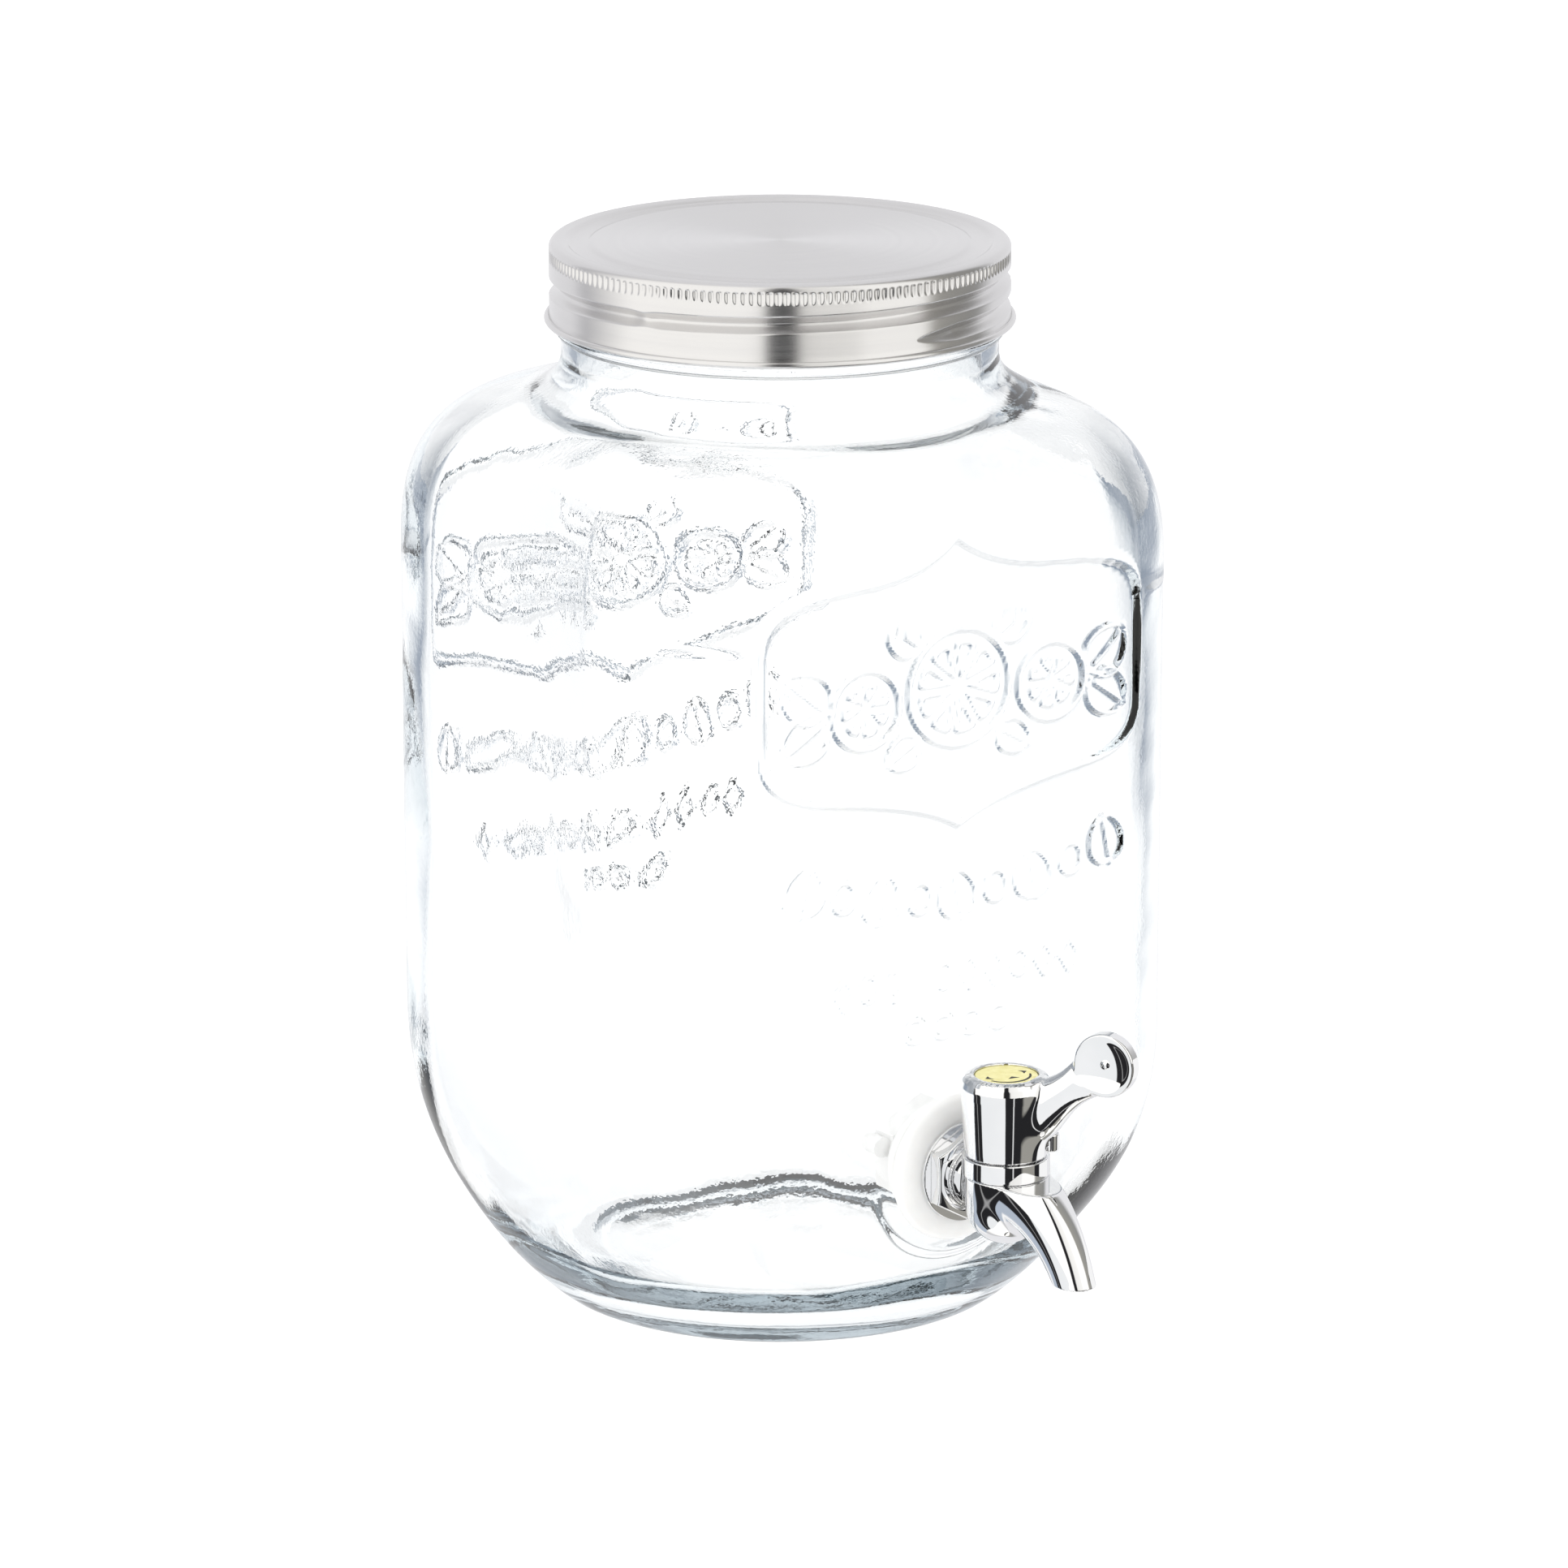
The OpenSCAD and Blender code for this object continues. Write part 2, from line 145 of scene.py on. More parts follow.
def polygon_field(r, h, pts):
    """Signed distance to a closed polygon of (r, h) points."""
    d = np.full(r.shape, 1e18)
    s = np.ones(r.shape)
    n = len(pts)
    for i in range(n):
        (ax, ay), (bx, by) = pts[i], pts[i - 1]
        ex, ey, wx, wy = bx - ax, by - ay, r - ax, h - ay
        t = np.clip((wx * ex + wy * ey) / (ex * ex + ey * ey), 0, 1)
        d = np.minimum(d, (wx - ex * t) ** 2 + (wy - ey * t) ** 2)
        c = np.stack([h >= ay, h < by, ex * wy > ey * wx])
        s = np.where(c.all(0) | (~c).all(0), -s, s)
    return s * np.sqrt(d)


def net(name, field, low, high, step, mat):
    """Meshes field(x, y, z) = 0 with one point in each crossed cell, drawn onto the surface."""
    ax = [np.arange(l, h + step, step) for l, h in zip(low, high)]
    g = np.meshgrid(*ax, indexing="ij")
    f = field(*g)
    inside = f < 0
    nx, ny, nz = (size - 1 for size in inside.shape)
    count = sum(inside[i:nx + i, j:ny + j, k:nz + k].astype(np.int8)
                for i in (0, 1) for j in (0, 1) for k in (0, 1))
    cell = (count > 0) & (count < 8)
    index = np.full(cell.shape, -1)
    index[cell] = np.arange(cell.sum())
    at = np.argwhere(cell)
    v = np.stack([ax[i][at[:, i]] + step / 2 for i in range(3)], -1)

    def slope(p):
        e = step * 0.05
        return np.stack([(field(*(p + d).T) - field(*(p - d).T)) / (2 * e)
                         for d in np.eye(3) * e], -1)

    for _ in range(5):
        s = slope(v)
        move = field(*v.T)[:, None] * s / np.maximum((s * s).sum(1), 0.3)[:, None]
        v = v - np.clip(move, -step * 0.6, step * 0.6)
    faces = []
    for d in range(3):
        o1, o2 = (d + 1) % 3, (d + 2) % 3
        a = inside.take(range(inside.shape[d] - 1), d)
        b = inside.take(range(1, inside.shape[d]), d)
        for turn, hit in ((1, a & ~b), (-1, b & ~a)):
            c = np.argwhere(hit)
            c = c[(c[:, o1] > 0) & (c[:, o2] > 0)]
            c = c[(c[:, o1] < cell.shape[o1]) & (c[:, o2] < cell.shape[o2])]
            ring = []
            for s1, s2 in ((-1, -1), (0, -1), (0, 0), (-1, 0))[::turn]:
                k = c.copy()
                k[:, o1] += s1
                k[:, o2] += s2
                ring.append(index[k[:, 0], k[:, 1], k[:, 2]])
            faces.append(np.stack(ring, -1))
    faces = np.concatenate(faces)
    faces = faces[(faces >= 0).all(1)]
    nrm = slope(v)
    nrm /= np.maximum(np.linalg.norm(nrm, axis=1), 1e-9)[:, None]
    return make(name, v, faces.tolist(), mat, normals=nrm)


# ---------------------------------------------------------------- materials
class Nodes:
    def __init__(self, name):
        self.mat = bpy.data.materials.new(name)
        self.mat.use_nodes = True
        self.tree = self.mat.node_tree
        self.bsdf = self.tree.nodes["Principled BSDF"]

    def add(self, kind, **inputs):
        n = self.tree.nodes.new(kind)
        for key, value in inputs.items():
            if hasattr(n, key):
                setattr(n, key, value)
        return n

    def link(self, a, b):
        self.tree.links.new(a, b)

    def put(self, **values):
        for key, value in values.items():
            self.bsdf.inputs[key.replace("_", " ")].default_value = value

    def coords(self):
        return self.add("ShaderNodeTexCoord").outputs["Object"]

    def math(self, op, a, b=None):
        n = self.add("ShaderNodeMath", operation=op)
        for i, x in enumerate((a, b)):
            if x is None:
                continue
            if isinstance(x, (int, float)):
                n.inputs[i].default_value = x
            else:
                self.link(x, n.inputs[i])
        return n.outputs[0]

    def noise(self, scale, detail=2.0, vector=None, rough=0.5):
        n = self.add("ShaderNodeTexNoise")
        n.inputs["Scale"].default_value = scale
        n.inputs["Detail"].default_value = detail
        n.inputs["Roughness"].default_value = rough
        self.link(self.coords() if vector is None else vector, n.inputs["Vector"])
        return n.outputs["Fac"]

    def ramp(self, fac, stops):
        n = self.add("ShaderNodeValToRGB")
        e = n.color_ramp.elements
        while len(e) < len(stops):
            e.new(0.5)
        for i, (pos, col) in enumerate(stops):
            e[i].position = pos
            e[i].color = (*col, 1) if len(col) == 3 else col
        self.link(fac, n.inputs["Fac"])
        return n.outputs["Color"]

    def bump(self, height, strength, distance):
        n = self.add("ShaderNodeBump")
        n.inputs["Strength"].default_value = strength
        n.inputs["Distance"].default_value = distance
        self.link(height, n.inputs["Height"])
        self.link(n.outputs["Normal"], self.bsdf.inputs["Normal"])


def glass_material():
    m = Nodes("clear_pressed_glass")
    m.put(Base_Color=(1, 1, 1, 1), Roughness=0.0, IOR=1.5, Transmission_Weight=1.0)
    wave = m.math("ADD", m.noise(26, 2), m.math("MULTIPLY", m.noise(900, 1), 0.012))
    m.bump(wave, 0.35, 0.0022)
    v = m.add("ShaderNodeVolumeAbsorption")
    v.inputs["Color"].default_value = (0.46, 0.58, 0.64, 1)
    v.inputs["Density"].default_value = 10.0
    m.link(v.outputs[0], m.tree.nodes["Material Output"].inputs["Volume"])
    return m.mat


def lid_material():
    """Sheet steel brushed in circles: streaks run round the lid's axis."""
    m = Nodes("brushed_lid_steel")
    m.put(Metallic=1.0, Roughness=0.24, Anisotropic=0.8, Anisotropic_Rotation=0.25)
    sep = m.add("ShaderNodeSeparateXYZ")
    m.link(m.coords(), sep.inputs[0])
    x, y, z = sep.outputs
    r = m.math("SQRT", m.math("ADD", m.math("MULTIPLY", x, x), m.math("MULTIPLY", y, y)))
    safe = m.math("MAXIMUM", r, 0.0005)
    com = m.add("ShaderNodeCombineXYZ")
    m.link(m.math("MULTIPLY", m.math("DIVIDE", x, safe), 0.9), com.inputs[0])
    m.link(m.math("MULTIPLY", m.math("DIVIDE", y, safe), 0.9), com.inputs[1])
    m.link(m.math("MULTIPLY", m.math("ADD", r, z), 2600.0), com.inputs[2])
    fine = m.noise(1.6, 3, com.outputs[0], 0.6)
    wide = m.noise(0.25, 2, com.outputs[0], 0.5)
    m.link(m.ramp(wide, [(0.2, (0.745, 0.735, 0.735)), (0.8, (0.775, 0.765, 0.76))]),
           m.bsdf.inputs["Base Color"])
    m.link(m.math("ADD", m.math("MULTIPLY", fine, 0.08), 0.21), m.bsdf.inputs["Roughness"])
    t = m.add("ShaderNodeTangent", direction_type="RADIAL", axis="Z")
    m.link(t.outputs[0], m.bsdf.inputs["Tangent"])
    m.bump(fine, 0.25, 0.000012)
    return m.mat


def chrome_material(name="bright_chrome", tint=(0.93, 0.93, 0.935), rough=0.02):
    m = Nodes(name)
    m.put(Metallic=1.0, Roughness=rough)
    m.link(m.ramp(m.noise(160, 3), [(0.3, tuple(0.97 * c for c in tint)), (0.7, tint)]),
           m.bsdf.inputs["Base Color"])
    m.link(m.math("ADD", m.math("MULTIPLY", m.noise(700, 3), 0.03), rough),
           m.bsdf.inputs["Roughness"])
    m.bump(m.noise(90, 1), 0.12, 0.0004)
    return m.mat


def silicone_material():
    m = Nodes("milky_silicone")
    m.put(Roughness=0.42, Subsurface_Weight=0.6, Subsurface_Scale=0.003,
          Subsurface_Radius=(1.0, 0.95, 0.9), IOR=1.41)
    m.link(m.ramp(m.noise(120, 3), [(0.3, (0.80, 0.80, 0.79)), (0.7, (0.86, 0.86, 0.85))]),
           m.bsdf.inputs["Base Color"])
    m.bump(m.noise(1500, 2), 0.12, 0.00008)
    return m.mat


def plastic_material(name, dark, light, rough=0.4, grain=1100):
    m = Nodes(name)
    m.link(m.ramp(m.noise(70, 3), [(0.35, dark), (0.65, light)]), m.bsdf.inputs["Base Color"])
    m.link(m.math("ADD", m.math("MULTIPLY", m.noise(400, 2), 0.12), rough - 0.06),
           m.bsdf.inputs["Roughness"])
    m.bump(m.noise(grain, 2), 0.15, 0.00006)
    return m.mat


def label_material():
    m = Nodes("pale_yellow_label")
    m.put(Roughness=0.3, Coat_Weight=0.4, Coat_Roughness=0.06)
    m.link(m.ramp(m.noise(500, 3), [(0.35, (0.77, 0.70, 0.24)), (0.65, (0.86, 0.80, 0.36))]),
           m.bsdf.inputs["Base Color"])
    m.bump(m.noise(900, 2), 0.2, 0.00005)
    return m.mat


glass = glass_material()
lid_steel = lid_material()
chrome = chrome_material()
bright_steel = chrome_material("bright_steel", (0.72, 0.72, 0.72), 0.12)
silicone = silicone_material()
white_plastic = plastic_material("white_moulding", (0.80, 0.80, 0.79), (0.87, 0.87, 0.86))
grey_plastic = plastic_material("grey_acetal", (0.12, 0.12, 0.125), (0.17, 0.17, 0.175), 0.35)
black_rubber = plastic_material("black_rubber", (0.015, 0.015, 0.015), (0.03, 0.03, 0.03),
                                0.55, 2200)
label = label_material()
label_ink = plastic_material("label_ink", (0.03, 0.03, 0.025), (0.06, 0.055, 0.045), 0.5)


# ---------------------------------------------------------------- relief on the front and back faces
def ridge(d, width, height):
    """Rounded ridge of that full width about distance 0."""
    return height * np.clip(1 - (d / (width / 2)) ** 2, 0, 1) ** 1.5


def to_segments(s, z, pts):
    d = np.full(s.shape, 1e9)
    for (ax, ay), (bx, by) in zip(pts[:-1], pts[1:]):
        ex, ey = bx - ax, by - ay
        t = np.clip(((s - ax) * ex + (z - ay) * ey) / (ex * ex + ey * ey + 1e-12), 0, 1)
        d = np.minimum(d, length(s - ax - ex * t, z - ay - ey * t))
    return d


def bezier(a, b, c, d, n=14):
    t = np.linspace(0, 1, n)[:, None]
    a, b, c, d = (np.array(q, float) for q in (a, b, c, d))
    return ((1 - t) ** 3 * a + 3 * (1 - t) ** 2 * t * b
            + 3 * (1 - t) * t * t * c + t ** 3 * d).tolist()


def leaf(s, z, x0, z0, size, turn, height=0.9):
    """Leaf outline with a middle vein."""
    c, n = math.cos(math.radians(turn)), math.sin(math.radians(turn))
    u, v = (s - x0) * c + (z - z0) * n, -(s - x0) * n + (z - z0) * c
    w = 0.42 * size * np.sqrt(np.clip(1 - (2 * u / size) ** 2, 0, 1)) * (1 - 0.35 * u / size)
    edge = np.where(np.abs(u) < size / 2, np.abs(np.abs(v) - w), length(np.abs(u) - size / 2, v))
    vein = np.where(np.abs(u) < size * 0.42, np.abs(v), 9)
    return np.maximum(ridge(edge, 2.0, height), ridge(vein, 1.5, height * 0.7))


def slice_motif(s, z, x0, z0, radius, parts, height=0.95):
    """Cut round fruit: a rim and rounded segments."""
    u, v = s - x0, z - z0
    r, a = length(u, v), np.arctan2(v, u)
    h = ridge(np.abs(r - radius), 2.0, height)
    k = 2 * math.pi / parts
    b = np.abs((a + k / 2) % k - k / 2)
    spoke = r * np.sin(np.abs(k / 2 - b))
    inner = smax(r - radius + 3.1, -spoke + 1.0, 1.5)
    return np.maximum(h, ridge(np.abs(inner), 1.5, height * 0.75) * (r < radius))


PLAQUE_TOP = (bezier((0, 195), (-6, 190), (-14, 187.5), (-24, 186.8))
              + bezier((-24, 186.8), (-34, 186.2), (-50.5, 186.5), (-51, 174))
              + bezier((-51, 174), (-51.3, 166), (-51.3, 158), (-51, 150)))
PLAQUE_LOW = (bezier((-51, 150), (-50.5, 138), (-36, 138.5), (-24, 136.2))
              + bezier((-24, 136.2), (-12, 134), (-5, 131.5), (0, 128.5)))


def relief(s, z):
    a = np.abs(s)
    outline = [(-x, y) for x, y in PLAQUE_TOP + PLAQUE_LOW]
    h = ridge(to_segments(a, z, outline), 2.6, 1.0)
    # three cut fruits between leaves
    h = np.maximum(h, slice_motif(s, z, 0, 160.5, 13.5, 9))
    h = np.maximum(h, slice_motif(a, z, 25, 158.5, 9.0, 7))
    for x0, z0, size, turn in ((40.5, 163.5, 13, 40), (41, 153.5, 12, -35),
                               (14.5, 174, 10, 35), (15.0, 147, 9, -30)):
        h = np.maximum(h, leaf(a, z, x0, z0, size, turn))
    # hanging garland of leaves and drops
    for i in range(9):
        x0 = -41 + i * 10.25
        z0 = 112 + 6.5 * (x0 / 41) ** 2
        if i % 2:
            h = np.maximum(h, ridge(np.abs(length((s - x0) / 0.8, z - z0) - 3.6), 2.0, 0.85))
        else:
            h = np.maximum(h, leaf(s, z, x0, z0, 11.5, 78 if i < 4 else 102, 0.85))
    # row of diamonds and beads
    for i in range(10):
        x0 = -30.6 + i * 6.8
        if i % 3 == 1:
            h = np.maximum(h, ridge(np.abs(length((s - x0) / 0.75, z - 93) - 3.0), 1.7, 0.7))
        else:
            diamond = np.abs(s - x0) + 0.62 * np.abs(z - 93) - 2.5
            h = np.maximum(h, ridge(np.abs(diamond) * 0.85, 1.6, 0.7))
    for x0 in (-11.4, -3.8, 3.8, 11.4):
        h = np.maximum(h, ridge(np.abs(length(s - x0, z - 81) - 2.7), 1.7, 0.7))
        h = np.maximum(h, ridge(length(s - x0, z - 81), 1.8, 0.6))
    return h


# ---------------------------------------------------------------- glass jar
def square_section(half, corner, s):
    """Points and outward normals of a rounded square at arc lengths given from each side's middle."""
    flat = half - corner
    quarter = 2 * flat + corner * math.pi / 2
    side = np.floor((s + quarter / 2) / quarter)
    u = s - side * quarter
    over = np.clip(np.abs(u) - flat, 0, None) / corner
    x = np.clip(u, -flat, flat) + np.sign(u) * corner * np.sin(over)
    y = -flat - corner * np.cos(over)
    nx, ny = np.sign(u) * np.sin(over), -np.cos(over)
    a = side * math.pi / 2
    c, n = np.cos(a), np.sin(a)
    return x * c - y * n, x * n + y * c, nx * c - ny * n, nx * n + ny * c, u, side


def shoulder(m, e, rise):
    """Radius and height at the angle e along the shoulder of a wall whose radius is m."""
    return (SHOULDER_MID + (m - SHOULDER_MID) * np.cos(e) ** (2 / SHOULDER_POWER),
            SHOULDER_Z + rise * np.sin(e) ** (2 / SHOULDER_POWER))


def shoulder_end(m, stop):
    """Angle at which that shoulder has come in to the radius stop."""
    return np.arccos(((stop - SHOULDER_MID) / (m - SHOULDER_MID)) ** (SHOULDER_POWER / 2))


def jar_mesh():
    flat = HALF - CORNER
    quarter = 2 * flat + CORNER * math.pi / 2
    fine, coarse = ((0.6, 1.3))
    span = 57.0
    cols = []
    for k in range(4):
        step = fine if k % 2 == 0 else coarse
        n = int(round(2 * span / step))
        cols.append(k * quarter + np.linspace(-span, span, n, endpoint=False))
        rest = quarter - 2 * span
        m = max(3, int(round(rest / coarse)))
        cols.append(k * quarter + span + np.linspace(0, rest, m, endpoint=False))
    s = np.concatenate(cols)
    ox, oy, nx, ny, u, side = square_section(HALF, CORNER, s)
    # the inside follows the same columns on a smaller rounded square
    cin = CORNER - WALL
    u_in = np.clip(u, -flat, flat) + np.sign(u) * np.clip(np.abs(u) - flat, 0, None) * cin / CORNER
    q_in = 2 * flat + cin * math.pi / 2
    ix, iy, _, _, _, _ = square_section(HALF - WALL, cin, side * q_in + u_in)
    M, Mi = length(ox, oy), length(ix, iy)
    cx, cy = ox / M, oy / M
    az = np.arctan2(oy, ox)
    rows = []

    def ring(r, z, push=0.0, bend=None):
        """One row of points at radius r, or on the section shrunk to radius r, pushed out by push."""
        r = np.broadcast_to(r, M.shape)
        z = np.broadcast_to(z, M.shape)
        rows.append(np.stack([cx * r + nx * push, cy * r + ny * push, z], -1))

    def wave(z, seed, size):
        g = np.zeros(M.shape)
        rnd = np.random.default_rng(seed)
        for i in range(10):
            k, f, p = rnd.integers(1, 9), rnd.uniform(0.02, 0.11), rnd.uniform(0, 6.28)
            g = g + np.sin(k * az + f * z + p)
        return size * g / 3.2

    # underside: hollow centre, foot ring
    for r, z in ((0.01, 3.4), (12, 3.2), (24, 2.9), (34, 2.2), (40, 1.5), (44.5, 0.8),
                 (46.5, 0.25), (47.6, 0.02), (49.5, 0.0), (51.4, 0.05), (52.4, 0.35)):
        ring(r, z)

    def heel(z, foot, reach, low, m, k):
        w = np.clip((66 - z) / (66 - low), 0, 1)
        return smin(m, foot + (reach - foot) * (1 - w ** 1.2) ** (1 / 1.2), k)

    def outside(z):
        r = heel(z, 53.0, 100.5, 0.0, M, 13.0)
        # flat boss for the tap
        x = cx * r
        rho = length(x, z - TAP_Z)
        t = np.clip((23.0 - rho) / 3.0, 0, 1)
        t = t * t * (3 - 2 * t) * (oy < 0) * (np.abs(x) < 30)
        return r + t * (HALF / np.maximum(-cy, 0.5) - r)

    step = 0.62
    zs = np.concatenate([np.linspace(0.9, 20, 24, endpoint=False),
                         np.linspace(20, 70, int(50 / step / 1.1), endpoint=False),
                         np.linspace(70, 200, int(130 / step), endpoint=False)])
    rel_low, rel_high = 72.0, 199.0
    for z in (z for z in zs if z < SHOULDER_Z):
        h = 0.0
        if z > rel_low:
            h = RELIEF * relief(u, np.full(u.shape, z)) * (side % 2 == 0) * (np.abs(u) < 56)
        ring(outside(z) + wave(z, 3, 0.05), z, h)
    # shoulder, each column along its own curve up to the neck's fillet
    n_sh = 66
    r_stop = 61.0
    last = shoulder_end(M, r_stop)
    for t in np.linspace(0, 1, n_sh):
        r, z = shoulder(M, last * t, SHOULDER_RISE)
        h = RELIEF * relief(u, z) * (side % 2 == 0) * (np.abs(u) < 56) * (z < rel_high)
        ring(r + wave(SHOULDER_Z, 3, 0.05) * (1 - t), z, h)
    r0, z0 = shoulder(M, last, SHOULDER_RISE)
    rb, zb = shoulder(M, last * 0.985, SHOULDER_RISE)
    slope = (z0 - zb) / (rb - r0)
    zc = z0 + slope * (r0 - NECK)
    for t in np.linspace(0, 1, 16)[1:]:
        # quadratic curve whose corner point lies on the neck
        r = (1 - t) ** 2 * r0 + 2 * (1 - t) * t * (NECK + 0.3) + t * t * NECK
        z = (1 - t) ** 2 * z0 + 2 * (1 - t) * t * zc + t * t * 224.2
        ring(r, z)

    # neck: bead, helical thread ridge and rounded rim
    turn = np.degrees(az)

    def thread(z):
        out = np.zeros(M.shape)
        for k in (-2, -1, 0, 1):
            a = turn + 360 * k
            zc = THREAD_Z + LEAD / 2 + LEAD * (a - FRONT_AZ) / 360
            fade = np.clip((a + 420) / 25, 0, 1) * np.clip((-60 - a) / 25, 0, 1)
            bump = np.clip(1 - ((z - zc) / 1.6) ** 2, 0, 1) ** 1.2
            out = np.maximum(out, fade * 1.5 * bump)
        return out

    for z in np.arange(224.6, 246.3, 0.35):
        bead = 1.3 * math.sqrt(max(0.0, 1 - ((z - GLASS_BEAD_Z) / 1.4) ** 2))
        ring(NECK + bead + thread(z), z)
    for a in np.linspace(0, math.pi, 11):
        ring((NECK + MOUTH) / 2 + 2.0 * math.cos(a), RIM - 1.2 + 1.2 * math.sin(a))
    # inside: mouth, shoulder, wall, floor
    for z in np.linspace(245, 224, 9):
        ring(MOUTH + wave(z, 5, 0.06), z)
    r_in, rise_in = 56.0, SHOULDER_RISE - 3.8
    last = shoulder_end(Mi, r_in)
    z0 = shoulder(Mi, last, rise_in)[1]
    for t in np.linspace(0, 1, 12)[1:-1]:
        r = (1 - t) ** 2 * MOUTH + 2 * (1 - t) * t * MOUTH + t * t * r_in
        z = (1 - t) ** 2 * 223 + 2 * (1 - t) * t * (z0 + 1.5) + t * t * z0
        ring(r, z)
    for t in np.linspace(1, 0, 30):
        r, z = shoulder(Mi, last * t, rise_in)
        ring(r + wave(SHOULDER_Z + 30 * t, 7, 0.3) * (0.4 + 0.6 * (1 - t)), z)
    for z in np.linspace(172, 20, 84):
        r = heel(z, 54.0, 96.5, 8.0, Mi, 11.0)
        ring(r + wave(z, 7, 0.3), z)
    r20 = heel(20.0, 54.0, 96.5, 8.0, Mi, 11.0)
    w20 = wave(20.0, 7, 0.3)
    for t in np.linspace(0, 1, 14)[1:]:
        r = (1 - t) ** 2 * r20 + 2 * (1 - t) * t * (r20 - 12.5) + t * t * 44.0
        z = (1 - t) ** 2 * 20 + 2 * (1 - t) * t * 8.6 + t * t * 8.0
        ring(r + w20 * (1 - t), z)
    for r in (38, 30, 20, 10, 0.01):
        ring(r, 8.0 + 0.25 * math.sin(r / 7))
    v = np.concatenate(rows)
    n = len(s)
    R = len(rows)
    i, j = np.meshgrid(np.arange(R - 1), np.arange(n), indexing="ij")
    q = np.stack([i * n + j, i * n + (j + 1) % n,
                  (i + 1) * n + (j + 1) % n, (i + 1) * n + j], -1)
    # the tap's hole, cut through both walls
    mid = v[q].mean(2)
    rho = length(mid[..., 0], mid[..., 2] - TAP_Z)
    hole = (rho < TAP_HOLE) & (mid[..., 1] < 0)
    rim = np.zeros(len(v), bool)
    rim[np.unique(q[hole])] = True
    rim &= np.isin(np.arange(len(v)), np.unique(q[~hole]))
    k = np.where(rim)[0]
    d = length(v[k, 0], v[k, 2] - TAP_Z)
    v[k, 0] *= TAP_HOLE / d
    v[k, 2] = TAP_Z + (v[k, 2] - TAP_Z) * TAP_HOLE / d
    ob = make("jar_glass", v, q[~hole].reshape(-1, 4).tolist(), glass)
    bm = bmesh.new()
    bm.from_mesh(ob.data)
    middle = [x for x in bm.verts if x.co.x ** 2 + x.co.y ** 2 < 1e-9]
    bmesh.ops.remove_doubles(bm, verts=middle, dist=0.0002)
    loose = [x for x in bm.verts if not x.link_faces]
    bmesh.ops.delete(bm, geom=loose, context="VERTS")
    edges = [e for e in bm.edges if len(e.link_faces) == 1]
    bmesh.ops.bridge_loops(bm, edges=edges)
    bmesh.ops.recalc_face_normals(bm, faces=bm.faces)
    for f in bm.faces:
        f.smooth = True
    bm.to_mesh(ob.data)
    open_edges = sum(1 for e in bm.edges if len(e.link_faces) != 2)
    bm.free()
    print("jar faces", len(ob.data.polygons), "open edges", open_edges)
    return ob


